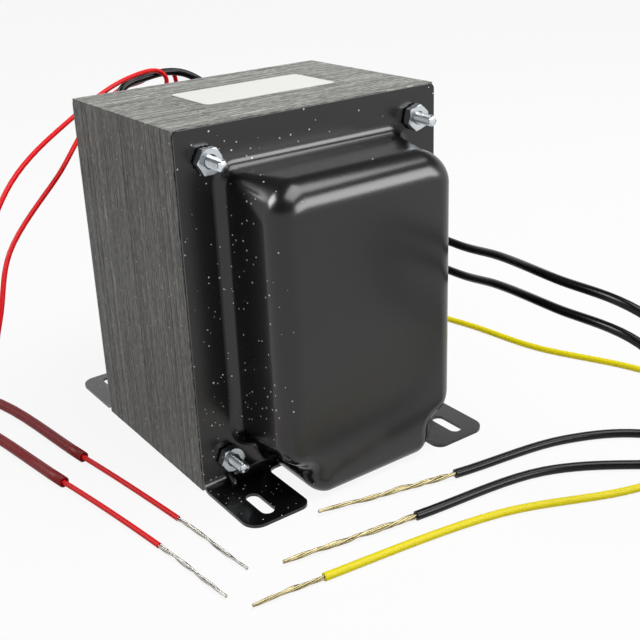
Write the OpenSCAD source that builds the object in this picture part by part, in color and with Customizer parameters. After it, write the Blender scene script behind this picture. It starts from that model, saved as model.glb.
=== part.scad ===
// Laminated chassis transformer with two drawn end bells.
// The stampings stand on edge, stacked along X. The front bell faces +X and the leads leave at the rear.
// Z = 0 is the underside of the mounting feet, and the origin is the middle of the base.

/* [Core] */
// Width of the tongue of an E stamping, which sets the whole outline of the stampings
tongue = 44.45; // [41:0.05:48]
// Thickness of one stamping
sheet_t = 0.36; // [0.32:0.01:0.42]
// Stampings that lie the same way in each pack
sheets_per_pack = 5; // [4:1:6]
// Packs in the stack
packs = 43; // [35:2:51]
// Gap at the butt joint between an E stamping and its I stamping
butt_gap = 0.1; // [0.05:0.01:0.3]
// Hole punched in the stampings for a bolt and its sleeve
core_hole_d = 5.9; // [5.8:0.1:7]

/* [Coil] */
// Wall of the coil former
former_wall = 1.5; // [1:0.1:2]
// Gap between the tongue and the former
former_fit = 0.3; // [0.1:0.1:0.5]
// Depth of the primary winding
primary_depth = 8.3; // [6:0.1:8.8]
// Depth of the secondary winding
secondary_depth = 7.9; // [6:0.1:8.4]
// Thickness of the paper between the windings and round the outside
paper_t = 0.9; // [0.4:0.1:1.2]
// Corner radius of the former
former_r = 0.8; // [0.4:0.1:0.9]
// Gap between the end of the coil and the core
coil_end_gap = 0.6; // [0.3:0.1:1.5]
// Width and height of the pad of tape where the leads are tied down
lead_pad = [46, 22]; // [10:1:60]
// Thickness of the pad of tape
lead_pad_t = 1; // [0.5:0.1:2]

/* [End bells] */
// Thickness of the steel sheet of a bell
bell_t = 1.2; // [0.9:0.1:1.4]
// How far a bell reaches from the face of the core
bell_depth = 32.6; // [30:0.1:36]
// How far the edge of a bell lies inside the edge of the core
bell_inset = 0.25; // [0.1:0.05:0.6]
// Radius of the upper corners of the flange
flange_r = 2; // [1:0.1:3]
// Width of the drawn dome
dome_w = 77; // [75:0.5:77.5]
// Gap between the top of the dome and the top of the core
dome_drop = 16.35; // [15:0.05:20]
// Height of the underside of the dome over the mounting plane
dome_lift = 0.6; // [0.5:0.1:1.5]
// Width of the narrow neck between the feet
neck_w = 57.4; // [54:0.1:58]
// Height at which the side of the dome turns in towards the neck
shoulder_z = 18.5; // [18:0.1:20]
// Angle of the sloping shoulder from the upright side
shoulder_slope = 60; // [55:1:65]
// Corner radius of the dome at the top, near the flange and near the front
dome_corner_r = [5, 12.5]; // [4:0.1:14]
// Corner radius at the shoulder, near the flange and near the front
shoulder_r = [5, 9]; // [4:0.1:10]
// Radius of the hollow bend between the shoulder and the neck
waist_r = 6; // [5:0.1:6.5]
// Radius of the lower corners of the neck
neck_corner_r = 8.6; // [8.2:0.1:9]
// Radius of the dome's front edge at its sides
side_edge_r = 8; // [7:0.1:8.2]
// Radius of the dome's front edge at the top
top_edge_r = 11; // [9:0.1:12]
// Radius of the dome's front edge at the bottom
bottom_edge_r = 5; // [4:0.1:7]
// Radius of the bend between the flange and the dome
draw_r = 4.2; // [3:0.1:4.4]

/* [Mounting feet] */
// Width of a foot
foot_w = 25.3; // [23:0.1:26]
// Inner radius of the bend between the flange and a foot
foot_bend_r = 3; // [2:0.1:3.5]
// Corner radius of a foot, on its outer and inner side
foot_corner_r = [6, 4]; // [2:0.1:7]
// Radius of the hollow corner between a foot and the neck
notch_r = 3.3; // [2:0.1:4]
// Width of a mounting slot
slot_w = 5.16; // [4.4:0.01:6]
// Length of a mounting slot
slot_len = 14.5; // [12:0.1:15]
// Distance from the face of the core to the middle of a slot
slot_x = 21.3; // [20.5:0.1:22]
// Diameter of the stiffening dart across the bend of each foot
dart_d = 2.8; // [2:0.1:3]
// Distance of the dart's middle line from the bend's corner along each leaf
dart_reach = 5; // [4.6:0.1:5.1]

/* [Fasteners] */
// Diameter of the clamping bolts
bolt_d = 4.1; // [3.8:0.05:4.4]
// Hole in a bell for a bolt
bell_hole_d = 4.8; // [4.6:0.05:5.2]
// Outer diameter of the insulating sleeve on a bolt
sleeve_d = 5.5; // [5.2:0.05:5.7]
// Inner diameter of the insulating sleeve
sleeve_bore = 4.6; // [4.5:0.05:4.8]
// Width of a nut and of a bolt head across the flats
nut_af = 8.73; // [8:0.01:9]
// Thickness of a nut
nut_t = 3.18; // [2.8:0.01:4]
// Thickness of a bolt head
head_t = 2.8; // [2.4:0.1:3.4]
// Length of thread past the nut
bolt_end = 7.6; // [4:0.1:9]
// Diameter of the washers
washer_d = 9.6; // [8.8:0.1:9.8]
// Thickness of the washers
washer_t = 0.7; // [0.5:0.05:1]
// Teeth of a lock washer
washer_teeth = 12; // [8:1:14]
// Gap between a bolt and what it passes through
bolt_fit = 0.05; // [0.03:0.01:0.1]

/* [Leads] */
// Hole for a grommet in the rear bell
grommet_hole_d = 12.7; // [11:0.1:14]
// Bore of a grommet
grommet_bore = 8.2; // [8:0.1:9]
// Outer diameter of a grommet
grommet_d = 17.5; // [16:0.1:19]
// Thickness of a grommet's lip
grommet_lip = 2.2; // [1.6:0.1:3]
// Height of the grommets
grommet_z = 88; // [84:0.5:92]
// Distance between the two grommets
grommet_pitch = 25.4; // [24:0.1:27]
// Diameter of the black leads
black_d = 3.4; // [3:0.05:3.5]
// Diameter of the yellow lead
yellow_d = 2.8; // [2.4:0.05:3]
// Diameter of the red leads
red_d = 2; // [1.6:0.05:2.2]
// Part of a lead's diameter that its bare strands take up
strand_part = 0.6; // [0.5:0.01:0.7]
// Outer and inner diameter of the loose sleeves on the red leads
tube_d = [4.2, 3]; // [2.5:0.1:4.6]
// Length of the loose sleeves on the red leads
tube_len = 76; // [60:1:80]

/* [Top label] */
// Length and width of the blank label on the core
label_size = [57, 27.5]; // [20:0.5:60]
// Thickness of the label
label_t = 0.2; // [0.1:0.05:0.4]
// Corner radius of the label
label_r = 2; // [0.5:0.1:4]
// Distance of the label's middle from the middle of the core, to the front and to the side
label_shift = [-1.5, 2]; // [-5:0.5:5]

/* [Hidden] */
$fn = 64;

// Outline of the scrapless stampings, all in shares of the tongue
limb = tongue / 2;
window = 1.5 * tongue;
core_w = 2.5 * tongue;
core_h = 3 * tongue;
pack_t = sheet_t * sheets_per_pack;
stack = pack_t * packs;
face_x = stack / 2;
bolt_y = core_w / 2 - limb / 2;
bolt_z = [limb / 2, core_h - limb / 2];

// The coil, from the tongue outwards
coil_len = window - 2 * coil_end_gap;
coil_z = core_h / 2;
former_in = former_fit;
primary_in = former_in + former_wall;
paper_in = primary_in + primary_depth;
secondary_in = paper_in + paper_t;
wrap_in = secondary_in + secondary_depth;
wrap_out = wrap_in + paper_t;
pad_x = face_x + wrap_out + lead_pad_t;

// The drawn dome, in distances from the face of the core
half_dome = dome_w / 2;
half_neck = neck_w / 2;
dome_top = core_h - dome_drop;
waist_z = shoulder_z - (half_dome - half_neck) / tan(shoulder_slope);
corner_steps = 7;
bend_steps = 4;
wall_steps = 2;
edge_steps = 6;
skirt = 1;
// The bend into the flange shrinks beside a washer and towards the mounting plane
seat_gap = 0.3;
least_draw_r = 0.4;
draw_rise = 0.45;

// The feet
foot_out = core_w / 2 - bell_inset;
foot_in = foot_out - foot_w;
bend_out = foot_bend_r + bell_t;
strip_in = half_neck - neck_corner_r + 2;

// The fasteners
nut_turn = [8, 30, 0, 18];
tooth_w = 1.3;
tooth_ring = 1;
nut_x = face_x + bell_t + washer_t;
chamfer = 0.6;
cut = 1;

// The leads' places in the two grommets, as steps across and up from each grommet's middle
groove_fit = 0.05;
red_y = grommet_pitch / 2;
black_y = -grommet_pitch / 2;
cord_sides = 8;
// Routes of the leads: from the coil, out of the rear bell, round and over the floor to the bare end
red_route_1 = [[-59.5, 11.4, 88], [-76, 11.4, 88], [-83, 7, 99], [-84, 6.5, 118], [-84, 7.8, 127],
    [-84, 4, 130.6], [-77, -17.7, 129.6], [-68, -44.5, 120], [-44, -82, 104.5], [-33, -103, 78],
    [-42, -124, 28], [-70, -130, 2.1], [-102, -120, 2.1], [-84, -97, 2.1], [-8, -81.6, 2.1],
    [49.7, -71.7, 1], [88, -67.5, 1]];
red_route_2 = [[-59.5, 14, 88], [-76, 14, 88], [-88, 17, 98], [-93, 18, 116], [-92.5, 15.5, 127.6],
    [-92.5, 8, 128.6], [-92.5, 0, 125.6], [-90, -12, 124], [-78, -32, 117], [-61, -47.3, 111],
    [-52, -58.6, 103.3], [-36, -89, 80.5], [-25.5, -100, 58.8], [-30, -114, 16], [-56, -124, 2.1],
    [-70, -112, 2.1], [4, -94.7, 2.1], [59.4, -84.2, 1], [95.5, -80, 1]];
black_route_1 = [[-59.5, -14.5, 88.9], [-76, -14.5, 88.9], [-84, -22, 103], [-85, -14, 124.5],
    [-87.5, 0, 128], [-88.5, 14, 128.4], [-85, 22, 125.5], [-74, 40, 108], [-50, 62, 86],
    [-10, 70.5, 68.5], [38.5, 70, 65.2], [65, 66.5, 68.3], [100, 58.5, 71.3], [134.6, 59, 69.9],
    [166, 78, 44], [174, 104, 16], [146, 114, 7], [113, 95.3, 1.7], [98, 69.5, 1.7],
    [89.6, 21.3, 1.7], [77.7, -31.8, 1.7]];
black_route_2 = [[-59.5, -10.9, 88.9], [-76, -10.9, 88.9], [-88, 6, 90], [-84, 34, 78], [-62, 58, 66],
    [-20, 69.5, 55], [39, 70, 52.7], [65.3, 65.8, 56.8], [100, 59, 60], [135, 59.8, 58.5],
    [158, 72, 36], [167, 92, 13], [150, 100, 8], [127, 77.2, 1.7], [108.3, 47, 1.7],
    [100.5, -7.1, 1.7], [93, -57, 1.7]];
yellow_route = [[-59.5, -12.7, 85.9], [-76, -12.7, 85.9], [-90, 0, 66], [-98, 24, 20], [-90, 60, 1.4],
    [-50, 104, 1.4], [-6.3, 117.4, 1.4], [35, 123.5, 1.4], [75, 139.4, 1.4], [112, 146, 1.4],
    [142, 118, 1.4], [136, 65.4, 1.4], [116.8, 16.4, 1.4], [107, -51, 1.4], [104.4, -76, 1.4]];

// ---------------------------------------------------------------- shared shapes

function mix(a, b, u) = a + (b - a) * u;
function unit(v) = v / norm(v);

// Extrudes a profile drawn in (Y, Z) along X, from the plane x0
module along_x(x0, length) {
    translate([x0, 0, 0])
        rotate([90, 0, 90])
            linear_extrude(length)
                children();
}

// Repeats its child on both sides of the object's middle plane
module both_sides() {
    children();
    mirror([0, 1, 0])
        children();
}

// A rectangle with round corners, centred
module round_rect(w, h, r) {
    square([w - 2 * r, h], center = true);
    square([w, h - 2 * r], center = true);
    for (sy = [-1, 1], sz = [-1, 1])
        translate([sy * (w / 2 - r), sz * (h / 2 - r)])
            circle(r);
}

// Puts its child on each of the four bolt axes, turned about it
module on_bolts(turns = [0, 0, 0, 0]) {
    for (i = [0 : 3])
        translate([0, (i % 2 * 2 - 1) * bolt_y, bolt_z[floor(i / 2)]])
            rotate([turns[i], 0, 0])
                rotate([0, 90, 0])
                    children();
}

// ---------------------------------------------------------------- core

// Plan of an E stamping with its back on the -Y side
module e_plan() {
    y0 = -core_w / 2;
    difference() {
        translate([y0, 0])
            square([limb + window, core_h]);
        for (z = [limb, core_h - 2 * limb])
            translate([y0 + limb, z])
                square([window + cut, limb]);
        for (z = bolt_z)
            translate([-bolt_y, z])
                circle(d = core_hole_d);
    }
}

// Plan of the I stamping that closes the E, on the +Y side
module i_plan() {
    width = limb - butt_gap;
    difference() {
        translate([core_w / 2 - width, 0])
            square([width, core_h]);
        for (z = bolt_z)
            translate([bolt_y, z])
                circle(d = core_hole_d);
    }
}

// Every second pack of the stack, from the first or the second one on
module interleaved(first) {
    for (i = [first : 2 : packs - 1])
        along_x(-face_x + i * pack_t, pack_t)
            children();
}

module e_stampings_left() {
    color("#6b6b68")
        interleaved(0)
            e_plan();
}

module i_stampings_right() {
    color("#747470")
        interleaved(0)
            i_plan();
}

module e_stampings_right() {
    color("#646462")
        interleaved(1)
            mirror([1, 0])
                e_plan();
}

module i_stampings_left() {
    color("#7a7a76")
        interleaved(1)
            mirror([1, 0])
                i_plan();
}

// ---------------------------------------------------------------- coil

// One layer of the coil round the tongue, between two distances from it
module coil_layer(inner, outer) {
    rotate([90, 0, 0])
        translate([0, coil_z, -coil_len / 2])
            linear_extrude(coil_len)
                difference() {
                    round_rect(stack + 2 * outer, tongue + 2 * outer, former_r + outer);
                    round_rect(stack + 2 * inner, tongue + 2 * inner, former_r + inner - former_in);
                }
}

module coil_former() {
    color("#c9b489")
        coil_layer(former_in, primary_in);
}

module primary_winding() {
    color("#b5652b")
        coil_layer(primary_in, paper_in);
}

module winding_paper() {
    color("#a98f5c")
        coil_layer(paper_in, secondary_in);
}

module secondary_winding() {
    color("#c07034")
        coil_layer(secondary_in, wrap_in);
}

module coil_wrap() {
    color("#d8c27c")
        coil_layer(wrap_in, wrap_out);
}

module lead_pad_tape() {
    color("#e8dfb0")
        translate([-pad_x, -lead_pad[0] / 2, grommet_z - lead_pad[1] / 2])
            cube([lead_pad_t, lead_pad[0], lead_pad[1]]);
}

// ---------------------------------------------------------------- end bells

// One corner of the dome's outline: [place, outward normal] pairs along its arc.
// A negative radius is a hollow corner.
function corner(centre, r, from, to) =
    [for (i = [0 : corner_steps])
        let (a = mix(from, to, i / corner_steps), n = [cos(a), sin(a)])
            [centre + r * n, n]];

// The dome's outline, anticlockwise from the right-hand side.
// growth is 0 at the flange and 1 at the front, where the corners are rounder.
function dome_outline(growth) =
    let (top_r = mix(dome_corner_r[0], dome_corner_r[1], growth),
         side_r = mix(shoulder_r[0], shoulder_r[1], growth),
         slope = shoulder_slope,
         side_z = shoulder_z + side_r * tan(slope / 2),
         hollow_z = waist_z - waist_r * tan(slope / 2),
         low_z = dome_lift + neck_corner_r,
         low_y = half_neck - neck_corner_r)
    concat(
        corner([half_dome - top_r, dome_top - top_r], top_r, 0, 90),
        corner([top_r - half_dome, dome_top - top_r], top_r, 90, 180),
        corner([side_r - half_dome, side_z], side_r, 180, 180 + slope),
        corner([-half_neck - waist_r, hollow_z], -waist_r, 180 + slope, 180),
        corner([-low_y, low_z], neck_corner_r, 180, 270),
        corner([low_y, low_z], neck_corner_r, 270, 360),
        corner([half_neck + waist_r, hollow_z], -waist_r, 360, 360 - slope),
        corner([half_dome - side_r, side_z], side_r, 360 - slope, 360));

// Radius of the bend into the flange at one place of the outline
function draw_r_at(p) =
    let (seat = min([for (z = bolt_z) norm([abs(p[0]) - bolt_y, p[1] - z])]) - washer_d / 2 - seat_gap)
    max(least_draw_r, min(draw_r, seat, least_draw_r + draw_rise * (p[1] - dome_lift)));

// Radius of the dome's front edge where the outline faces n
function edge_r_at(n) =
    side_edge_r + ((n[1] > 0 ? top_edge_r : bottom_edge_r) - side_edge_r) * n[1] * n[1];

// One ring of the dome's skin. Stage 0 is the skirt in the flange, 1 the bend out of the
// flange, 2 the wall and 3 the front edge, and u runs from 0 to 1 along each of them.
// depth_in is 0 for the outer skin and the sheet's thickness for the inner one.
function dome_ring(stage, u, depth_in) =
    let (base = dome_outline(0),
         here = dome_outline(stage < 2 ? 0 : stage == 2 ? u : 1),
         a = 90 * u)
    [for (i = [0 : len(base) - 1])
        let (n = here[i][1],
             f = draw_r_at(base[i][0]),
             e = edge_r_at(n),
             out = stage == 0 ? f
                 : stage == 1 ? f - (f + depth_in) * sin(a)
                 : stage == 2 ? -depth_in
                 : -depth_in - (e - depth_in) * (1 - cos(a)),
             x = stage == 0 ? (depth_in > 0 ? -skirt : 0)
                 : stage == 1 ? bell_t + f - (f + depth_in) * cos(a)
                 : stage == 2 ? mix(bell_t + f, bell_depth - e, u)
                 : bell_depth - e + (e - depth_in) * sin(a),
             p = here[i][0] + out * n)
        [x, p[0], p[1]]];

// The stages in order, each with its steps
dome_stations = concat(
    [[0, 0]],
    [for (i = [0 : bend_steps]) [1, i / bend_steps]],
    [for (i = [1 : wall_steps]) [2, i / wall_steps]],
    [for (i = [1 : edge_steps]) [3, i / edge_steps]]);

// The dome as a solid, out to its outer or its inner skin
module dome(depth_in) {
    rings = [for (s = dome_stations) dome_ring(s[0], s[1], depth_in)];
    n = len(rings[0]);
    last = len(rings) - 1;
    // The ends are closed by level bands between the outline's right and left halves
    bands = [for (j = [0 : n / 2 - 2])
        [(corner_steps - j + n) % n, corner_steps + 1 + j, corner_steps + 2 + j, (corner_steps - 1 - j + n) % n]];
    polyhedron(
        points = [for (ring = rings) each ring],
        faces = concat(
            bands,
            [for (band = bands) [for (i = [3 : -1 : 0]) last * n + band[i]]],
            [for (k = [0 : last - 1], i = [0 : n - 1])
                [k * n + i, (k + 1) * n + i, (k + 1) * n + (i + 1) % n]],
            [for (k = [0 : last - 1], i = [0 : n - 1])
                [k * n + i, (k + 1) * n + (i + 1) % n, k * n + (i + 1) % n]]));
}

// Plan of the right-hand foot and of the strip that joins it to the neck
module foot_plan() {
    outer_r = foot_corner_r[0];
    inner_r = foot_corner_r[1];
    translate([0, foot_in])
        square([bell_depth - outer_r, foot_w]);
    translate([0, foot_in + inner_r])
        square([bell_depth, foot_w - outer_r - inner_r]);
    translate([0, foot_in])
        square([bell_depth - inner_r, inner_r]);
    translate([bell_depth - outer_r, foot_out - outer_r])
        circle(outer_r);
    translate([bell_depth - inner_r, foot_in + inner_r])
        circle(inner_r);
    translate([0, strip_in])
        square([bend_out, foot_in - strip_in]);
    difference() {
        translate([0, foot_in - notch_r])
            square([bend_out + notch_r, notch_r]);
        translate([bend_out + notch_r, foot_in - notch_r])
            circle(notch_r);
    }
}

// Section of the sheet where it turns from the flange into a foot
module foot_section() {
    translate([0, bend_out])
        square([bell_t, bend_out]);
    translate([bend_out, 0])
        square([bell_depth, bell_t]);
    intersection() {
        square(bend_out);
        translate([bend_out, bend_out])
            difference() {
                circle(bend_out);
                circle(foot_bend_r);
            }
    }
}

// The right-hand foot with its bend, slot and dart
module foot() {
    difference() {
        intersection() {
            linear_extrude(3 * bend_out)
                foot_plan();
            translate([0, foot_out + cut, 0])
                rotate([90, 0, 0])
                    linear_extrude(foot_out)
                        foot_section();
        }
        for (s = [-1, 1])
            translate([slot_x + s * (slot_len - slot_w) / 2, bolt_y, -cut])
                cylinder(d = slot_w, h = bell_t + 2 * cut);
        translate([slot_x - (slot_len - slot_w) / 2, bolt_y - slot_w / 2, -cut])
            cube([slot_len - slot_w, slot_w, bell_t + 2 * cut]);
    }
    intersection() {
        translate([bell_t / 2, bolt_y - dart_d, bell_t / 2])
            cube([2 * dart_reach, 2 * dart_d, 2 * dart_reach]);
        translate([-dart_d, bolt_y, dart_reach + dart_d])
            rotate([0, 135, 0])
                cylinder(d = dart_d, h = 3 * dart_reach);
    }
}

// Plan of the flange above the bends of the feet
module flange_plan() {
    top = core_h - bell_inset;
    translate([-foot_out, bend_out])
        square([2 * foot_out, top - bend_out - flange_r]);
    translate([-foot_out + flange_r, top - 2 * flange_r])
        square([2 * (foot_out - flange_r), 2 * flange_r]);
    for (s = [-1, 1])
        translate([s * (foot_out - flange_r), top - flange_r])
            circle(flange_r);
}

// One end bell, standing on the plane x = 0 and reaching to +X
module end_bell() {
    difference() {
        union() {
            along_x(0, bell_t)
                flange_plan();
            both_sides()
                foot();
            dome(0);
        }
        dome(bell_t);
        on_bolts()
            translate([0, 0, -cut])
                cylinder(d = bell_hole_d, h = bell_t + 2 * cut);
    }
}

module front_bell() {
    color("#17171a")
        translate([face_x, 0, 0])
            end_bell();
}

module rear_bell() {
    color("#17171a")
        difference() {
            translate([-face_x, 0, 0])
                rotate([0, 0, 180])
                    end_bell();
            for (y = [red_y, black_y])
                translate([-face_x - bell_depth - cut, y, grommet_z])
                    rotate([0, 90, 0])
                        cylinder(d = grommet_hole_d, h = bell_t + 2 * cut);
        }
}

// ---------------------------------------------------------------- fasteners

// Half section of a grommet round the edge of its hole, with the sheet from 0 to bell_t
module grommet_section() {
    rim = grommet_d / 2;
    bore = grommet_bore / 2;
    half_lip = grommet_lip / 2;
    translate([bore, -groove_fit])
        square([grommet_hole_d / 2 - groove_fit - bore, bell_t + 2 * groove_fit]);
    for (z = [-grommet_lip - groove_fit, bell_t + groove_fit]) {
        translate([bore, z])
            square([rim - half_lip - bore, grommet_lip]);
        translate([rim - half_lip, z + half_lip])
            circle(half_lip);
    }
}

module lead_grommets() {
    color("#232323")
        for (y = [red_y, black_y])
            translate([-face_x - bell_depth, y, grommet_z])
                rotate([0, 90, 0])
                    rotate_extrude()
                        grommet_section();
}

// A hexagon prism along Z with its corners turned off at the ends that are asked for
module hex_body(thickness, low_cut, high_cut) {
    corner_r = nut_af / 2 / cos(30);
    intersection() {
        cylinder(r = corner_r, h = thickness, $fn = 6);
        rotate_extrude()
            polygon([[0, 0], [corner_r - low_cut, 0], [corner_r + chamfer, chamfer * (low_cut > 0 ? 1 : 0)],
                [corner_r + chamfer, thickness - chamfer * (high_cut > 0 ? 1 : 0)],
                [corner_r - high_cut, thickness], [0, thickness]]);
    }
}

module clamp_bolts() {
    shank = nut_x + nut_t + bolt_end + nut_x;
    color("#c4c7c9")
        on_bolts(nut_turn)
            union() {
                translate([0, 0, -nut_x])
                    rotate_extrude()
                        polygon([[0, 0], [bolt_d / 2, 0], [bolt_d / 2, shank - chamfer],
                            [bolt_d / 2 - chamfer, shank], [0, shank]]);
                translate([0, 0, -nut_x - head_t])
                    hex_body(head_t, chamfer, 0);
            }
}

module bolt_sleeves() {
    color("#b08d4e")
        on_bolts()
            translate([0, 0, -face_x + butt_gap])
                difference() {
                    cylinder(d = sleeve_d, h = stack - 2 * butt_gap);
                    translate([0, 0, -cut])
                        cylinder(d = sleeve_bore, h = stack + cut);
                }
}

module plain_washers() {
    color("#b9bcbe")
        on_bolts()
            translate([0, 0, -nut_x])
                difference() {
                    cylinder(d = washer_d, h = washer_t);
                    translate([0, 0, -cut])
                        cylinder(d = bolt_d + 2 * bolt_fit, h = washer_t + 2 * cut);
                }
}

// A lock washer with teeth round its outside
module lock_washers() {
    body_r = washer_d / 2 - tooth_ring;
    color("#8e9194")
        on_bolts()
            translate([0, 0, nut_x - washer_t])
                linear_extrude(washer_t)
                    difference() {
                        union() {
                            circle(body_r);
                            for (i = [0 : washer_teeth - 1])
                                rotate(i * 360 / washer_teeth)
                                    translate([0, -tooth_w / 2])
                                        square([washer_d / 2, tooth_w]);
                        }
                        circle(d = bolt_d + 2 * bolt_fit);
                    }
}

module hex_nuts() {
    color("#c9ccce")
        on_bolts(nut_turn)
            translate([0, 0, nut_x])
                difference() {
                    hex_body(nut_t, chamfer, chamfer);
                    translate([0, 0, -cut])
                        cylinder(d = bolt_d + 2 * bolt_fit, h = nut_t + 2 * cut);
                }
}

module top_label() {
    color("#efefec")
        translate([label_shift[0], label_shift[1], core_h])
            rotate([0, 0, 90])
                linear_extrude(label_t)
                    round_rect(label_size[0], label_size[1], label_r);
}

// ---------------------------------------------------------------- leads

// Directions of travel at the points of a route, up to the one where its bare end begins
function headings(route) =
    let (last = len(route) - 2)
    [for (i = [0 : last])
        unit(route[i + 1] - route[i < last ? max(i - 1, 0) : i])];

// Side directions carried along a route without twist
function carried(heading, side, i = 0) =
    i >= len(heading) ? []
    : let (s = unit(side - (side * heading[i]) * heading[i]))
        concat([s], carried(heading, s, i + 1));

// The covered part of a lead: a tube along its route as far as its bare end
module covered(route, d) {
    heading = headings(route);
    side = carried(heading, [0, 1, 0]);
    n = cord_sides;
    last = len(heading) - 1;
    polyhedron(
        points = [for (k = [0 : last], i = [0 : n - 1])
            let (a = 360 * i / n)
                route[k] + d / 2 * (cos(a) * side[k] + sin(a) * cross(heading[k], side[k]))],
        faces = concat(
            [[for (i = [0 : n - 1]) i]],
            [[for (i = [n - 1 : -1 : 0]) last * n + i]],
            [for (k = [0 : last - 1], i = [0 : n - 1])
                [k * n + i, (k + 1) * n + i, (k + 1) * n + (i + 1) % n]],
            [for (k = [0 : last - 1], i = [0 : n - 1])
                [k * n + i, (k + 1) * n + (i + 1) % n, k * n + (i + 1) % n]]));
}

// Turns a child that stands on Z so that it points from one place to another
module pointing(from, to) {
    d = to - from;
    translate(from)
        rotate([0, acos(d[2] / norm(d)), atan2(d[1], d[0])])
            children();
}

// The bare strands on the last stretch of a route
module bare_end(route, d) {
    from = route[len(route) - 2];
    to = route[len(route) - 1];
    color("#c9c4b4")
        pointing(from, to)
            cylinder(d = d * strand_part, h = norm(to - from));
}

// The loose sleeve on a lead, ending at the third point from the end of its route
module loose_tube(route) {
    from = route[len(route) - 3];
    color("#8c191e")
        pointing(from, route[len(route) - 4])
            difference() {
                cylinder(d = tube_d[0], h = tube_len);
                translate([0, 0, -cut])
                    cylinder(d = tube_d[1], h = tube_len + 2 * cut);
            }
}

module red_lead_1() {
    color("#e1141e")
        covered(red_route_1, red_d);
}

module red_lead_2() {
    color("#e1141e")
        covered(red_route_2, red_d);
}

module black_lead_1() {
    color("#141414")
        covered(black_route_1, black_d);
}

module black_lead_2() {
    color("#141414")
        covered(black_route_2, black_d);
}

module yellow_lead() {
    color("#f0e114")
        covered(yellow_route, yellow_d);
}

module red_tube_1() {
    loose_tube(red_route_1);
}

module red_tube_2() {
    loose_tube(red_route_2);
}

module red_end_1() {
    bare_end(red_route_1, red_d);
}

module red_end_2() {
    bare_end(red_route_2, red_d);
}

module black_end_1() {
    bare_end(black_route_1, black_d);
}

module black_end_2() {
    bare_end(black_route_2, black_d);
}

module yellow_end() {
    bare_end(yellow_route, yellow_d);
}

e_stampings_left();
i_stampings_right();
e_stampings_right();
i_stampings_left();
coil_former();
primary_winding();
winding_paper();
secondary_winding();
coil_wrap();
lead_pad_tape();
front_bell();
rear_bell();
lead_grommets();
clamp_bolts();
bolt_sleeves();
plain_washers();
lock_washers();
hex_nuts();
top_label();
red_lead_1();
red_lead_2();
black_lead_1();
black_lead_2();
yellow_lead();
red_tube_1();
red_tube_2();
red_end_1();
red_end_2();
black_end_1();
black_end_2();
yellow_end();
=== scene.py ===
"""Dresses a laminated chassis transformer: its camera, leads, stampings, end bells and fasteners.

Every length is in metres and every piece lies in the frame of the solids: X along the stack,
Y across the feet, Z up from the chassis.
"""

import math
import random

import bmesh
import bpy
from bpy.props import FloatProperty, FloatVectorProperty, IntProperty, PointerProperty
from mathutils import Matrix, Vector


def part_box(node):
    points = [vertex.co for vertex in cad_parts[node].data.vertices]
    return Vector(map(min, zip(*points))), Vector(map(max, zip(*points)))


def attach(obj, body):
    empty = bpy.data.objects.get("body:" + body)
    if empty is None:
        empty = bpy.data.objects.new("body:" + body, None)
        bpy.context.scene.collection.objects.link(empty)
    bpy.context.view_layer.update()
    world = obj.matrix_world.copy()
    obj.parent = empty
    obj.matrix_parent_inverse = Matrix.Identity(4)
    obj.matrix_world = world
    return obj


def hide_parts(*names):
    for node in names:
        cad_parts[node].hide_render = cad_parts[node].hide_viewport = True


bl_info = {
    "name": "Chassis Transformer",
    "version": (1, 0, 0),
    "blender": (4, 5, 0),
    "location": "View3D > Sidebar > Transformer",
    "description": "Models the visible pieces of a laminated chassis transformer",
    "category": "Add Mesh",
}

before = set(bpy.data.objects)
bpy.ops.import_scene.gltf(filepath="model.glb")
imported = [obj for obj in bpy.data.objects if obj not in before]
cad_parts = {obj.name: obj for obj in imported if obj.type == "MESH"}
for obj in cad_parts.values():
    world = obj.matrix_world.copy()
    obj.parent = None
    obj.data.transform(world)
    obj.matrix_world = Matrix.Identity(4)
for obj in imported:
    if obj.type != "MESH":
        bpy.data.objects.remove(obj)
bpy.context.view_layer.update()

MM = 0.001
UP = Vector((0, 0, 1))
CORE_LOW, CORE_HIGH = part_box("e_stampings_left")
CORE_FACE = CORE_HIGH[0]
CORE_HEIGHT = CORE_HIGH[2]
CORE_HALF_WIDTH = -CORE_LOW[1]
TONGUE = CORE_HEIGHT / 3
BOLT_Y = CORE_HALF_WIDTH - TONGUE / 4
BOLT_Z = (TONGUE / 4, CORE_HEIGHT - TONGUE / 4)
BELL_SHEET = 1.2 * MM
GROMMET_Y = 12.7 * MM
GROMMET_Z = 88 * MM
CORNERS = [(y, z) for z in BOLT_Z for y in (-BOLT_Y, BOLT_Y)]

# ---------------- settings


def length(name, description, default):
    """A setting that is a length."""
    return FloatProperty(name=name, description=description, default=default, unit="LENGTH")


def tint(name, description, default):
    """A setting that is a colour."""
    return FloatVectorProperty(name=name, description=description, default=default,
                               subtype="COLOR", min=0, max=1)


class CoreSettings(bpy.types.PropertyGroup):
    """The stack of stampings."""

    sheets: IntProperty(name="Sheets", description="Stampings in the stack", default=215)
    pack: IntProperty(name="Pack", description="Stampings that lie the same way in a pack", default=5)
    scatter: length("Scatter", "How far a sheet may stand out of line", 0.06 * MM)
    joint: length("Joint", "Gap at the butt joint", 0.34 * MM)
    # Painted shade: how much darker the stack's sides are drawn than its top, where less light falls
    painted_side_shade: FloatProperty(
        name="Painted side shade", description="Shade of the sides against the top", default=0.43)
    steel: tint("Steel", "Colour of the sheared edges", (0.5, 0.5, 0.48))


class BellSettings(bpy.types.PropertyGroup):
    """The two drawn end bells."""

    thickness: length("Sheet", "Thickness of the sheet", BELL_SHEET)
    depth: length("Depth", "Reach from the core", 32.6 * MM)
    edge: length("Edge", "Rounding of the cut edges", 0.3 * MM)
    paint: tint("Paint", "Colour of the enamel", (0.045, 0.045, 0.048))


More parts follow.
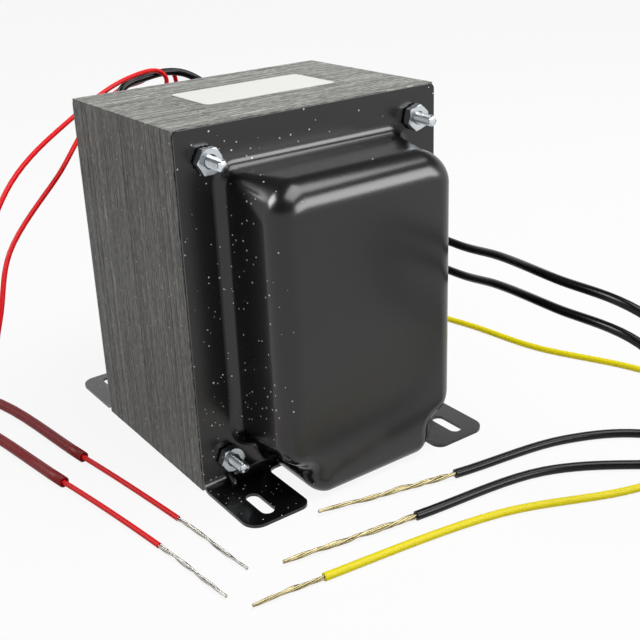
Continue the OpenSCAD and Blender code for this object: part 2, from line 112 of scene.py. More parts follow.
class LeadSettings(bpy.types.PropertyGroup):
    """The free leads."""

    black: length("Black", "Diameter of a black lead", 3.4 * MM)
    yellow: length("Yellow", "Diameter of the yellow lead", 2.8 * MM)
    red: length("Red", "Diameter of a red lead", 2 * MM)
    sleeve: length("Sleeve", "Diameter of a loose sleeve", 4.2 * MM)
    twist: length("Twist", "Length of one turn of the strands", 26 * MM)


class StageSettings(bpy.types.PropertyGroup):
    """The floor, the lamps and the camera."""

    key: FloatProperty(name="Key", description="Power of the lamp overhead", default=8, unit="POWER")
    lens: FloatProperty(name="Lens", description="Focal length of the camera", default=56.5, unit="CAMERA")


SETTINGS = {"core": CoreSettings, "bells": BellSettings, "leads": LeadSettings, "stage": StageSettings}


def settings(group):
    """One of the groups of settings, as the panel shows it."""
    return getattr(bpy.context.scene, "transformer_" + group)


# ---------------- colours and materials


def srgb(text):
    """A hex colour as linear RGBA."""
    return to_linear([int(text[i:i + 2], 16) / 255 for i in (1, 3, 5)])


def to_linear(colour):
    """An sRGB colour as linear RGBA."""
    return [c / 12.92 if c <= 0.04045 else ((c + 0.055) / 1.055) ** 2.4 for c in colour] + [1.0]


def add(tree, kind, inputs=(), **options):
    """Adds a node with its options, and sets or links its inputs."""
    new = tree.nodes.new(kind)
    for name, value in options.items():
        setattr(new, name, value)
    for socket, value in dict(inputs).items():
        if isinstance(value, bpy.types.NodeSocket):
            tree.links.new(value, new.inputs[socket])
        else:
            new.inputs[socket].default_value = value
    return new


def empty_tree(owner):
    """The emptied node tree of a material or a world."""
    owner.use_nodes = True
    owner.node_tree.nodes.clear()
    return owner.node_tree


def start_material(name, **sockets):
    """A material with a Principled BSDF whose sockets are set. Returns (material, tree, shader)."""
    material = bpy.data.materials.new(name)
    tree = empty_tree(material)
    shader = add(tree, "ShaderNodeBsdfPrincipled", {k.replace("_", " "): v for k, v in sockets.items()})
    add(tree, "ShaderNodeOutputMaterial", {"Surface": shader.outputs[0]})
    return material, tree, shader


def object_place(tree):
    """The place on the object, in metres."""
    return add(tree, "ShaderNodeTexCoord").outputs["Object"]


def tone_of(tree):
    """The tone that the mesh carries."""
    return add(tree, "ShaderNodeAttribute", attribute_name="tone").outputs["Fac"]


def noise(tree, place, scale, detail, output="Fac", **sockets):
    """A noise pattern over a place."""
    values = {"Vector": place, "Scale": scale, "Detail": detail, **sockets}
    return add(tree, "ShaderNodeTexNoise", values).outputs[output]


def reckon(tree, operation, a, b, kind="ShaderNodeMath"):
    """The result of an operation on two values."""
    return add(tree, kind, {0: a, 1: b}, operation=operation).outputs[0]


def map_range(tree, value, low, high, start=0.0, end=1.0):
    """Spreads what lies between start and end from low to high."""
    ends = {"From Min": start, "From Max": end, "To Min": low, "To Max": high}
    return add(tree, "ShaderNodeMapRange", {"Value": value, **ends}).outputs[0]


def shaded(tree, colour, shade):
    """A colour made darker or lighter."""
    return add(tree, "ShaderNodeVectorMath", {0: colour[:3], "Scale": shade}, operation="SCALE").outputs[0]


def dust(tree, shader, colour, specks, speck_colour):
    """Gives a shader its colour, and another one where the specks lie."""
    # Mix has one socket of each name per data type, so its colour sockets are named by index
    colours = {"Factor": specks, 6: colour, 7: srgb(speck_colour)}
    mixed = add(tree, "ShaderNodeMix", colours, data_type="RGBA")
    tree.links.new(mixed.outputs[2], shader.inputs["Base Color"])


def emboss(tree, shader, height, strength, depth):
    """Gives a shader a fine relief."""
    bump = add(tree, "ShaderNodeBump", {"Height": height, "Strength": strength, "Distance": depth})
    tree.links.new(bump.outputs[0], shader.inputs["Normal"])


def ramp(tree, factor, stops):
    """A colour ramp over (place, grey) stops."""
    new = add(tree, "ShaderNodeValToRGB", {"Fac": factor})
    elements = new.color_ramp.elements
    elements[0].position, elements[1].position = stops[0][0], stops[-1][0]
    for place, grey in stops[1:-1]:
        elements.new(place)
    for element, (place, grey) in zip(elements, stops):
        element.color = (grey, grey, grey, 1)
    return new.outputs["Color"]


DUSTY_Y, CLEAN_Y = -45 * MM, -20 * MM
CLEAN_SHARE = 1 / 18
SPECK_SIZES = (0.6, 1.7)


def dust_mask(tree, spacing, size, share):
    """White where a speck of dust lies. Cells lie about spacing apart, in metres, and a share of them hold
    a speck: all of it on the side towards -Y, and an eighteenth of it on the other."""
    place = object_place(tree)
    wobble = noise(tree, place, 0.6 / size, 2.0, "Color")
    moved = reckon(tree, "MULTIPLY", wobble, (size, size, size), "ShaderNodeVectorMath")
    moved = reckon(tree, "ADD", moved, place, "ShaderNodeVectorMath")
    cells = add(tree, "ShaderNodeTexVoronoi", {"Vector": moved, "Scale": 1 / spacing})
    chance = add(tree, "ShaderNodeSeparateColor", {0: cells.outputs["Color"]})
    reach = map_range(tree, chance.outputs[1], *(k * size / spacing for k in SPECK_SIZES))
    near = reckon(tree, "LESS_THAN", cells.outputs["Distance"], reach)
    across = add(tree, "ShaderNodeSeparateXYZ", {"Vector": place}).outputs["Y"]
    limit = map_range(tree, across, share, share * CLEAN_SHARE, DUSTY_Y, CLEAN_Y)
    return reckon(tree, "MULTIPLY", near, reckon(tree, "LESS_THAN", chance.outputs[0], limit))


def stoved_enamel():
    """Gloss black enamel, sprayed and stoved on drawn steel: even, with slight orange peel and shop dust."""
    material, tree, shader = start_material("stoved_enamel", Roughness=0.24, IOR=1.53)
    specks = dust_mask(tree, 2 * MM, 0.2 * MM, 0.6)
    dust(tree, shader, to_linear(settings("bells").paint), specks, "#f4f4ee")
    peel = noise(tree, object_place(tree), 1 / (1.6 * MM), 1.0)
    emboss(tree, shader, peel, 0.12, 0.05 * MM)
    return material


def streaks(tree, width, run, detail, roughness):
    """A noise pattern drawn out along the cut edge of a sheet."""
    scale = (1 / width, 1 / run, 1 / run)
    drawn = add(tree, "ShaderNodeMapping", {"Vector": object_place(tree), "Scale": scale})
    return noise(tree, drawn.outputs[0], 1.0, detail, Roughness=roughness)


def sheared_steel(name, lightness):
    """Silicon steel with its edges sheared and annealed: dull grey, streaked from sheet to sheet."""
    steel = [lightness * c for c in to_linear(settings("core").steel)[:3]]
    material, tree, shader = start_material(name, Metallic=0.25, Roughness=0.5)
    # A streak is about two sheets wide, drawn coarser than one sheet so that it shows
    broad = streaks(tree, 0.75 * MM, 14 * MM, 4.0, 0.75)
    grain = streaks(tree, 0.36 * MM, 2.5 * MM, 3.0, 0.5)
    both = reckon(tree, "MULTIPLY", reckon(tree, "ADD", broad, grain), 0.5)
    contrast = ramp(tree, both, [(0.4, 0.32), (0.5, 1.0), (0.6, 2.0)])
    shade = reckon(tree, "MULTIPLY", contrast, tone_of(tree))
    specks = dust_mask(tree, 2.6 * MM, 0.18 * MM, 0.4)
    dust(tree, shader, shaded(tree, steel, shade), specks, "#d8d8d0")
    emboss(tree, shader, both, 0.35, 0.08 * MM)
    return material


def zinc_plate(name, colour, roughness, root_shaded=False):
    """Steel with bright zinc plate: a cold mirror broken by fine scratches. With painted shade in its thread
    roots, it is as dark as the piece's tone says."""
    material, tree, shader = start_material(name, Base_Color=srgb(colour), Metallic=1.0, Roughness=roughness)
    if root_shaded:
        tree.links.new(shaded(tree, srgb(colour), tone_of(tree)), shader.inputs["Base Color"])
    scuffs = noise(tree, object_place(tree), 1 / (0.8 * MM), 3.0)
    emboss(tree, shader, scuffs, 0.15, 0.03 * MM)
    return material


def wire_pvc(name, colour, roughness):
    """Extruded PVC wire cover: smooth and soft, with a broad highlight along it."""
    material, tree, shader = start_material(name, Base_Color=srgb(colour), Roughness=roughness,
                                           Specular_IOR_Level=0.25)
    dents = noise(tree, object_place(tree), 1 / (6 * MM), 1.0)
    emboss(tree, shader, dents, 0.04, 0.1 * MM)
    return material


MOTTLE = 0.08


def plain(name, colour, roughness):
    """One even finish, with a slight mottle in its gloss."""
    material, tree, shader = start_material(name, Base_Color=srgb(colour), Specular_IOR_Level=0.3)
    mottle = noise(tree, object_place(tree), 1 / (3 * MM), 2.0)
    gloss = map_range(tree, mottle, roughness - MOTTLE, roughness + MOTTLE)
    tree.links.new(gloss, shader.inputs["Roughness"])
    return material


def enamelled_wire():
    """A layer of enamelled copper wire: glossy, with soft grooves round the coil."""
    material, tree, shader = start_material("enamelled_wire", Base_Color=srgb("#b4642c"), Metallic=0.7,
                                           Roughness=0.3)
    grooves = add(tree, "ShaderNodeTexWave", {"Vector": object_place(tree), "Scale": 1 / (22 * MM)},
                  bands_direction="Y")
    emboss(tree, shader, grooves.outputs["Fac"], 0.5, 0.3 * MM)
    return material


# ---------------- small tools


def mesh_from(bm, name):
    """A mesh from a bmesh, which is freed."""
    mesh = bpy.data.meshes.new(name)
    bm.to_mesh(mesh)
    bm.free()
    return mesh


def keep(bm, name, material, slot, nodes=(), smooth=35):
    """Makes a bmesh the mesh of a new piece that rides on the body. Edges sharper than smooth stay sharp."""
    bm.normal_update()
    for face in bm.faces:
        face.smooth = True
    for edge in bm.edges:
        edge.smooth = len(edge.link_faces) != 2 or edge.calc_face_angle() < math.radians(smooth)
    mesh = mesh_from(bm, name)
    mesh.materials.append(material)
    return place(bpy.data.objects.new(name, mesh), slot, nodes)


def place(piece, slot, nodes):
    """Links a new piece, makes it ride and hides the parts that it stands for."""
    bpy.context.collection.objects.link(piece)
    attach(piece, "root")
    if nodes:
        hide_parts(*nodes)
    return piece


def ease_edges(piece, width, segments, angle):
    """Rounds a piece's edges that are sharper than an angle, and evens its normals."""
    rounding = piece.modifiers.new("edges", "BEVEL")
    rounding.width = width
    rounding.segments = segments
    rounding.limit_method = "ANGLE"
    rounding.angle_limit = math.radians(angle)
    even = piece.modifiers.new("even", "WEIGHTED_NORMAL")
    even.keep_sharp = True


def linked(bm, verts):
    """Edges from each vertex to the next."""
    return [bm.edges.new(pair) for pair in zip(verts, verts[1:])]


def loop_of(bm, points):
    """A closed loop through the points: its vertices and its edges."""
    verts = [bm.verts.new(p) for p in points]
    return verts, linked(bm, verts + verts[:1])


def only(kind, geom):
    """The elements of one kind."""
    return [g for g in geom if isinstance(g, kind)]


def circle_points(centre, radius, steps, x):
    """Points round a circle that faces along X."""
    return [(x, centre[0] + radius * math.cos(2 * math.pi * i / steps),
             centre[1] + radius * math.sin(2 * math.pi * i / steps)) for i in range(steps)]


def arc(centre, radius, start, end, steps):
    """Points along an arc, in degrees."""
    angles = [math.radians(start + (end - start) * i / steps) for i in range(steps + 1)]
    return [(centre[0] + radius * math.cos(a), centre[1] + radius * math.sin(a)) for a in angles]


def mix(a, b, share):
    """The value a given share of the way from a to b."""
    return a + (b - a) * share


# ---------------- leads

# The leads' routes, in millimetres: from the coil, out of the rear bell and over the floor
RED_ROUTE_1 = [
    (-59.5, 11.4, 88), (-76, 11.4, 88), (-83, 7, 99), (-84, 6.5, 118), (-84, 7.8, 127),
    (-84, 4, 130.6), (-77, -17.7, 129.6), (-68, -44.5, 120), (-44, -82, 104.5), (-33, -103, 78),
    (-42, -124, 28), (-70, -130, 2.1), (-102, -120, 2.1), (-84, -97, 2.1), (-8, -81.6, 2.1),
    (49.7, -71.7, 1), (88, -67.5, 1)]
RED_ROUTE_2 = [
    (-59.5, 14, 88), (-76, 14, 88), (-88, 17, 98), (-93, 18, 116), (-92.5, 15.5, 127.6),
    (-92.5, 8, 128.6), (-92.5, 0, 125.6), (-90, -12, 124), (-78, -32, 117), (-61, -47.3, 111),
    (-52, -58.6, 103.3), (-36, -89, 80.5), (-25.5, -100, 58.8), (-30, -114, 16), (-56, -124, 2.1),
    (-70, -112, 2.1), (4, -94.7, 2.1), (59.4, -84.2, 1), (95.5, -80, 1)]
BLACK_ROUTE_1 = [
    (-59.5, -14.5, 88.9), (-76, -14.5, 88.9), (-84, -22, 103), (-85, -14, 124.5),
    (-87.5, 0, 128), (-88.5, 14, 128.4), (-85, 22, 125.5), (-74, 40, 108), (-50, 62, 86),
    (-10, 70.5, 68.5), (38.5, 70, 65.2), (65, 66.5, 68.3), (100, 58.5, 71.3), (134.6, 59, 69.9),
    (166, 78, 44), (174, 104, 16), (146, 114, 7), (113, 95.3, 1.7), (98, 69.5, 1.7),
    (89.6, 21.3, 1.7), (77.7, -31.8, 1.7)]
BLACK_ROUTE_2 = [
    (-59.5, -10.9, 88.9), (-76, -10.9, 88.9), (-88, 6, 90), (-84, 34, 78), (-62, 58, 66),
    (-20, 69.5, 55), (39, 70, 52.7), (65.3, 65.8, 56.8), (100, 59, 60), (135, 59.8, 58.5),
    (158, 72, 36), (167, 92, 13), (150, 100, 8), (127, 77.2, 1.7), (108.3, 47, 1.7),
    (100.5, -7.1, 1.7), (93, -57, 1.7)]
YELLOW_ROUTE = [
    (-59.5, -12.7, 85.9), (-76, -12.7, 85.9), (-90, 0, 66), (-98, 24, 20), (-90, 60, 1.4),
    (-50, 104, 1.4), (-6.3, 117.4, 1.4), (35, 123.5, 1.4), (75, 139.4, 1.4), (112, 146, 1.4),
    (142, 118, 1.4), (136, 65.4, 1.4), (116.8, 16.4, 1.4), (107, -51, 1.4), (104.4, -76, 1.4)]
COVERS = {"red": ("#f00a14", 0.45), "black": ("#080808", 0.26), "yellow": ("#eddd02", 0.45)}
ROUTE_STEPS = 9
SLEEVE_LENGTH, SLEEVE_WALL = 76 * MM, 0.6 * MM
# A lead's middle lies this share of its radius above the floor, pressed a trace flat
LYING = 0.999
# A bare end: its strands, how thick one is in the bundle, and how the bundle measures against the lead
STRANDS, STRAND_STEPS, STRAND_RESOLUTION = 8, 4, 2
STRANDS_ACROSS = 3.7
BUNDLE_SHARE, LEAST_BUNDLE = 0.7, 1.9 * MM
# How the strands differ in their twist, how far they bulge, how often they wave and how far they close
TWIST_RANGE, LOOSEST, WAVES, CLOSING = (0.75, 1.3), 0.3, 9, 0.45


def smooth_route(points, floor):
    """A smooth curve through the points, in metres, no lower than floor."""
    ends = [points[0] * 2 - points[1]] + points + [points[-1] * 2 - points[-2]]
    curve = []
    for a, b, c, d in zip(ends, ends[1:], ends[2:], ends[3:]):
        # Centripetal steps, so that the curve doesn't loop or bulge between uneven points
        t = [0.0]
        for p, q in ((a, b), (b, c), (c, d)):
            t.append(t[-1] + max((q - p).length, 1e-6) ** 0.5)
        for step in range(ROUTE_STEPS):
            u = mix(t[1], t[2], step / ROUTE_STEPS)
            ab = a.lerp(b, (u - t[0]) / (t[1] - t[0]))
            bc = b.lerp(c, (u - t[1]) / (t[2] - t[1]))
            cd = c.lerp(d, (u - t[2]) / (t[3] - t[2]))
            abc = ab.lerp(bc, (u - t[0]) / (t[2] - t[0]))
            bcd = bc.lerp(cd, (u - t[1]) / (t[3] - t[1]))
            curve.append(abc.lerp(bcd, (u - t[1]) / (t[2] - t[1])))
    curve.append(points[-1])
    for p in curve:
        p.z = max(p.z, floor)
    return curve


def path_length(path):
    """The length of a path through its points."""
    return sum((b - a).length for a, b in zip(path, path[1:]))


def curve_of(name, paths, radius, caps=True, resolution=6):
    """A curve object with a round tube along each path."""
    data = bpy.data.curves.new(name, "CURVE")
    data.dimensions = "3D"
    data.bevel_depth = radius
    data.bevel_resolution = resolution
    data.use_fill_caps = caps
    for path in paths:
        spline = data.splines.new("POLY")
        spline.points.add(len(path) - 1)
        for point, p in zip(spline.points, path):
            point.co = (*p, 1)
        spline.use_smooth = True
    return bpy.data.objects.new(name, data)


def mesh_of(curve, name):
    """The curve object's tubes as a mesh object."""
    bpy.context.collection.objects.link(curve)
    bpy.context.view_layer.update()
    shaped = curve.evaluated_get(bpy.context.evaluated_depsgraph_get())
    mesh = bpy.data.meshes.new_from_object(shaped)
    bpy.data.objects.remove(curve)
    mesh.name = name
    return bpy.data.objects.new(name, mesh)


def strand_paths(path, bundle, seed):
    """Paths of thin strands laid loosely round a path, closing towards its tip, and their radius."""
    dice = random.Random(seed)
    thin = bundle / STRANDS_ACROSS
    paths = []
    for k in range(STRANDS):
        phase, wave = dice.uniform(0, 2 * math.pi), dice.uniform(0, 2 * math.pi)
        around = (bundle - thin) / 2 * math.sqrt((k + 0.3) / STRANDS)
        turn = settings("leads").twist * dice.uniform(*TWIST_RANGE)
        loose = dice.uniform(0, LOOSEST)
        gone = 0.0
        route = []
        for i, p in enumerate(path):
            before, after = path[max(i - 1, 0)], path[min(i + 1, len(path) - 1)]
            ahead = (after - before).normalized()
            gone += (p - before).length
            share = i / (len(path) - 1)
            side = ahead.cross(UP).normalized()
            up = side.cross(ahead)
            angle = phase + 2 * math.pi * gone / turn
            bulge = loose * math.sin(math.pi * share) * (1 + math.sin(WAVES * share + wave))
            reach = around * (1 + bulge - CLOSING * share)
            spot = p + side * math.cos(angle) * reach + up * math.sin(angle) * reach
            spot.z = max(spot.z, thin / 2)
            route.append(spot)
        paths.append(route)
    return paths, thin / 2


class LeadMaker:
    """Makes one lead and its bare strands, and finds the stretch that a loose sleeve covers."""

    def __init__(self, name, route, diameter, cover, tin, sleeved):
        self.name = name
        self.diameter = diameter
        points = [Vector(p) * MM for p in route]
        # The curve follows the whole route, and the last stretch of it is bare
        whole = smooth_route(points, diameter / 2 * LYING)
        cut = len(whole) - 1 - ROUTE_STEPS
        self.covered, self.bare = whole[:cut + 1], whole[cut:]
        self.sleeved = self.sleeve_path() if sleeved else []
        # The lead is lifted to the middle of its sleeve, which lies on the floor
        for p in self.sleeved:
            p.z = max(p.z, settings("leads").sleeve / 2)
        self.lead = curve_of(name + "_cover", [self.covered], diameter / 2)
        self.lead.data.materials.append(cover)
        self.strip(tin)

    def strip(self, tin):
        """The bare strands, from just inside the cover."""
        bare = self.bare
        fine = [bare[0] - (bare[1] - bare[0]).normalized() * MM]
        for a, b in zip(bare, bare[1:]):
            fine += [a.lerp(b, step / STRAND_STEPS) for step in range(STRAND_STEPS)]
        fine.append(bare[-1])
        bundle = max(self.diameter * BUNDLE_SHARE, LEAST_BUNDLE)
        paths, radius = strand_paths(fine, bundle, self.name)
        name = self.name + "_strands"
        self.strands = mesh_of(curve_of(name, paths, radius, resolution=STRAND_RESOLUTION), name)
        self.strands.data.materials.append(tin)

    def sleeve_path(self):
        """The part of the lead that its loose sleeve covers."""
        end = len(self.covered) - 1 - ROUTE_STEPS
        path = [self.covered[end]]
        gone = 0
        while gone < SLEEVE_LENGTH:
            end -= 1
            gone += (self.covered[end] - path[-1]).length
            path.append(self.covered[end])
        path[-1] = path[-2].lerp(path[-1], 1 - (gone - SLEEVE_LENGTH) / (path[-1] - path[-2]).length)
        return path


class TRANSFORMER_OT_leads(bpy.types.Operator):
    """Model the five free leads with their bare ends and loose sleeves."""

    bl_idname = "transformer.leads"
    bl_label = "Leads"

    def execute(self, context):
        sizes = settings("leads")
        covers = {colour: wire_pvc("pvc_cover_" + colour, *look) for colour, look in COVERS.items()}
        silver = zinc_plate("tinned_strands", "#aaa7a1", 0.34)
        golden = zinc_plate("tinned_strands_warm", "#958b69", 0.27)
        for node, colour, route, tin in (
                ("red_lead_1", "red", RED_ROUTE_1, silver), ("red_lead_2", "red", RED_ROUTE_2, silver),
                ("black_lead_1", "black", BLACK_ROUTE_1, golden),
                ("black_lead_2", "black", BLACK_ROUTE_2, golden),
                ("yellow_lead", "yellow", YELLOW_ROUTE, golden)):
            diameter = getattr(sizes, colour)
            maker = LeadMaker(node, route, diameter, covers[colour], tin, colour == "red")
            place(maker.lead, colour + "_pvc", [node])
            place(maker.strands, "tinned_wire", [node.replace("_lead", "_end")])
            if maker.sleeved:
                self.sleeve(maker, node.replace("_lead", "_tube"))
            round(path_length(maker.covered), 3)
        return {"FINISHED"}

    def sleeve(self, maker, node):
        """A loose sleeve with its wall, round a red lead."""
        open_tube = curve_of(node + "_curve", [maker.sleeved], settings("leads").sleeve / 2, caps=False)
        tube = mesh_of(open_tube, node + "_sleeve")
        tube.data.materials.append(plain("varnished_sleeving", "#8c1418", 0.5))
        wall = tube.modifiers.new("wall", "SOLIDIFY")
        wall.thickness = SLEEVE_WALL
        wall.offset = -1
        return place(tube, "dark_red_tube", [node])


# ---------------- stampings

STACK_SEED = 11
# How much of its share of the stack a sheet fills, and how loosely it lies against the scatter setting
SHEET_FILL, LOOSENESS = 0.93, 0.4
TONE_SPREAD, DARKEST, LIGHTEST = 0.28, 0.4, 1.8


class TRANSFORMER_OT_core(bpy.types.Operator):
    """Stack the stampings one by one, each a little out of line with the next."""

    bl_idname = "transformer.core"
    bl_label = "Stampings"

    def execute(self, context):
        core = settings("core")
        limb, height = TONGUE / 2, CORE_HEIGHT
        tip = limb + 1.5 * TONGUE
        e_plan = [(0, 0), (tip, 0), (tip, limb), (limb, limb), (limb, 2 * limb), (tip, 2 * limb),
                  (tip, 4 * limb), (limb, 4 * limb), (limb, 5 * limb), (tip, 5 * limb), (tip, height),
                  (0, height)]
        i_plan = [(tip + core.joint, 0), (5 * limb, 0), (5 * limb, height), (tip + core.joint, height)]
        dice = random.Random(STACK_SEED)
        for node, plan, first, flip, lightness in (
                ("e_stampings_left", e_plan, 0, 1, 1.0), ("i_stampings_right", i_plan, 0, 1, 1.04),
                ("e_stampings_right", e_plan, 1, -1, 0.97), ("i_stampings_left", i_plan, 1, -1, 1.02)):
            bm = bmesh.new()
            tone = bm.loops.layers.float_color.new("tone")
            for index in range(core.sheets):
                if index // core.pack % 2 == first:
                    self.sheet(bm, tone, plan, flip, index, dice)
            material = sheared_steel("sheared_steel_" + node, lightness)
            keep(bm, node + "_sheets", material, "silicon_steel", [node], smooth=20)
        return {"FINISHED"}

    def sheet(self, bm, tone, plan, flip, index, dice):
        """One stamping, punched a little askew, with its own shade."""
        core = settings("core")
        thick = 2 * CORE_FACE / core.sheets
        shift_y = dice.gauss(0, LOOSENESS) * core.scatter
        shift_z = dice.gauss(0, LOOSENESS) * core.scatter - core.scatter / 2
        low_x = -CORE_FACE + index * thick
        points = [(low_x, flip * (y - CORE_HALF_WIDTH) + shift_y, max(z + shift_z, 0)) for y, z in plan]
        face = bm.faces.new(loop_of(bm, points)[0])
        grown = only(bmesh.types.BMVert, bmesh.ops.extrude_face_region(bm, geom=[face])["geom"])
        bmesh.ops.translate(bm, verts=grown, vec=(thick * SHEET_FILL, 0, 0))
        faces = {f for v in grown for f in v.link_faces} | {face}
        bmesh.ops.recalc_face_normals(bm, faces=list(faces))
        for f in faces:
            f.normal_update()
        shade = min(max(dice.gauss(1.0, TONE_SPREAD), DARKEST), LIGHTEST)
        for f in faces:
            # The stack's sides get painted shade: they are drawn darker than its top, as less light falls on
            # them
            here = shade * (core.painted_side_shade if abs(f.normal.y) > 0.5 else 1)
            for corner in f.loops:
                corner[tone] = (here, here, here, 1)


# ---------------- end bells

HALF_DOME, HALF_NECK = 38.5 * MM, 28.7 * MM
DOME_TOP, DOME_LOW = 117 * MM, 0.6 * MM
SHOULDER_Z, WAIST_Z = 18.5 * MM, 12.842 * MM
SLOPE = 60
TOP_R, SHOULDER_R = (5 * MM, 12.5 * MM), (5 * MM, 9 * MM)
WAIST_R, NECK_R = 6 * MM, 8.6 * MM
EDGE_R = {"side": 8 * MM, "top": 11 * MM, "bottom": 5 * MM}
DRAW_R, LEAST_DRAW_R = 4.2 * MM, 0.4 * MM
SEAT_R = 5.1 * MM
# How fast the bend into the flange grows with the height over the dome's lowest place
DRAW_GROWTH = 0.45
# The skirt starts inside the flange's sheet and stands out a little beyond the bend
SKIRT_SINK, SKIRT_OUT = 0.05 * MM, 0.15 * MM
CORNER_STEPS, EDGE_STEPS, WALL_STEPS, DRAW_STEPS = 18, 12, 6, 9
FOOT_OUT, FOOT_IN, STRIP_IN = 55.3125 * MM, 30.0125 * MM, 22.1 * MM
BEND_R, BEND_STEPS = 3 * MM, 8
FOOT_R = (6 * MM, 4 * MM)
NOTCH_R = 3.3 * MM
SLOT_X, SLOT_HALF, SLOT_R = 21.3 * MM, 4.67 * MM, 2.58 * MM
FLANGE_TOP, FLANGE_R = 133.1 * MM, 2 * MM
BOLT_HOLE_R = 2.4 * MM
GROMMET_HOLE_R = 6.35 * MM
ARC_STEPS, FOOT_ARC_STEPS, SLOT_ARC_STEPS = 8, 10, 12
BOLT_HOLE_STEPS, GROMMET_HOLE_STEPS = 32, 48
DART_PLACE = 2.35 * MM
DART_SIZE = (2.1 * MM, 1.5 * MM, 4.2 * MM)


def dome_outline(growth):
    """The dome's outline as (place, outward normal) pairs in (Y, Z), rounder as growth goes from 0 to 1."""
    top_r, side_r = mix(*TOP_R, growth), mix(*SHOULDER_R, growth)
    half_tan = math.tan(math.radians(SLOPE / 2))
    top = (HALF_DOME - top_r, DOME_TOP - top_r)
    shoulder = (HALF_DOME - side_r, SHOULDER_Z + side_r * half_tan)
    waist = (HALF_NECK + WAIST_R, WAIST_Z - WAIST_R * half_tan)
    low = (HALF_NECK - NECK_R, DOME_LOW + NECK_R)
    outline = []
    for (y, z), r, start, end in (
            (top, top_r, 0, 90), ((-top[0], top[1]), top_r, 90, 180),
            ((-shoulder[0], shoulder[1]), side_r, 180, 180 + SLOPE),
            ((-waist[0], waist[1]), -WAIST_R, 180 + SLOPE, 180),
            ((-low[0], low[1]), NECK_R, 180, 270), (low, NECK_R, 270, 360),
            (waist, -WAIST_R, 360, 360 - SLOPE), (shoulder, side_r, 360 - SLOPE, 360)):
        for i in range(CORNER_STEPS + 1):
            a = math.radians(mix(start, end, i / CORNER_STEPS))
            n = Vector((math.cos(a), math.sin(a)))
            outline.append((Vector((y, z)) + r * n, n))
    return outline


def draw_radius(p):
    """Radius of the bend into the flange at a place of the outline: less beside a washer and low down."""
    seat = min(math.hypot(abs(p[0]) - BOLT_Y, p[1] - z) for z in BOLT_Z) - SEAT_R
    return max(LEAST_DRAW_R, min(DRAW_R, seat, LEAST_DRAW_R + DRAW_GROWTH * (p[1] - DOME_LOW)))


def dome_rings(sheet, depth):
    """The rings of the dome's outer skin, from just under the flange's face to the flat front."""
    base, full = dome_outline(0), dome_outline(1)
    bends = [draw_radius(p) for p, n in base]
    fronts = [mix(EDGE_R["side"], EDGE_R["top" if n[1] > 0 else "bottom"], n[1] ** 2) for p, n in full]

    def ring(line, reach):
        points = []
        for (p, n), f, e in zip(line, bends, fronts):
            x, out = reach(f, e)
            points.append((x, p[0] + out * n[0], p[1] + out * n[1]))
        return points

    yield ring(base, lambda f, e: (sheet - SKIRT_SINK, f + SKIRT_OUT))
    for i in range(DRAW_STEPS + 1):
        a = math.radians(90 * i / DRAW_STEPS)
        yield ring(base, lambda f, e: (sheet + f * (1 - math.cos(a)), f * (1 - math.sin(a))))
    for i in range(1, WALL_STEPS + 1):
        u = i / WALL_STEPS
        yield ring(dome_outline(u), lambda f, e: (mix(sheet + f, depth - e, u), 0))
    for i in range(1, EDGE_STEPS + 1):
        a = math.radians(90 * i / EDGE_STEPS)
        yield ring(full, lambda f, e: (depth - e * (1 - math.sin(a)), -e * (1 - math.cos(a))))


def draw_dome(bm, sheet, depth, holes):
    """The drawn dome: its rings extruded one from the next, and its front filled round the holes."""
    rings = list(dome_rings(sheet, depth))
    verts, edges = loop_of(bm, rings[0])
    for points in rings[1:]:
        grown = bmesh.ops.extrude_edge_only(bm, edges=edges)["geom"]
        edges = [e for e in only(bmesh.types.BMEdge, grown) if len(e.link_faces) == 1]
        fresh = set(only(bmesh.types.BMVert, grown))
        verts = [next(e.other_vert(v) for e in v.link_edges if e.other_vert(v) in fresh) for v in verts]
        for v, p in zip(verts, points):
            v.co = p
    for centre, radius in holes:
        edges += loop_of(bm, circle_points(centre, radius, GROMMET_HOLE_STEPS, depth))[1]
    bmesh.ops.triangle_fill(bm, edges=edges, use_beauty=True)


def press_plate(bm, sheet):
    """The flange with its bolt holes, and the bends and feet that carry on from it."""
    centre_z = sheet + BEND_R
    low = [-FOOT_OUT, NOTCH_R - FOOT_IN, -STRIP_IN, STRIP_IN, FOOT_IN - NOTCH_R, FOOT_OUT]
    top = FLANGE_TOP - FLANGE_R
    outline = [(y, centre_z) for y in low]
    outline += arc((FOOT_OUT - FLANGE_R, top), FLANGE_R, 0, 90, ARC_STEPS)
    outline += arc((FLANGE_R - FOOT_OUT, top), FLANGE_R, 90, 180, ARC_STEPS)
    verts, edges = loop_of(bm, [(sheet, y, z) for y, z in outline])
    rim = [e for e in edges[:5] if e.verts[0].co.y * e.verts[1].co.y > 0]
    for corner in CORNERS:
        edges += loop_of(bm, circle_points(corner, BOLT_HOLE_R, BOLT_HOLE_STEPS, sheet))[1]
    bmesh.ops.triangle_fill(bm, edges=edges, use_beauty=True)
    spun = bmesh.ops.spin(bm, geom=rim + verts[:6], cent=(centre_z, 0, centre_z), axis=(0, 1, 0),
                          angle=-math.pi / 2, steps=BEND_STEPS, use_merge=False)["geom_last"]
    for side in (-1, 1):
        press_foot(bm, sheet, side, only(bmesh.types.BMVert, spun))


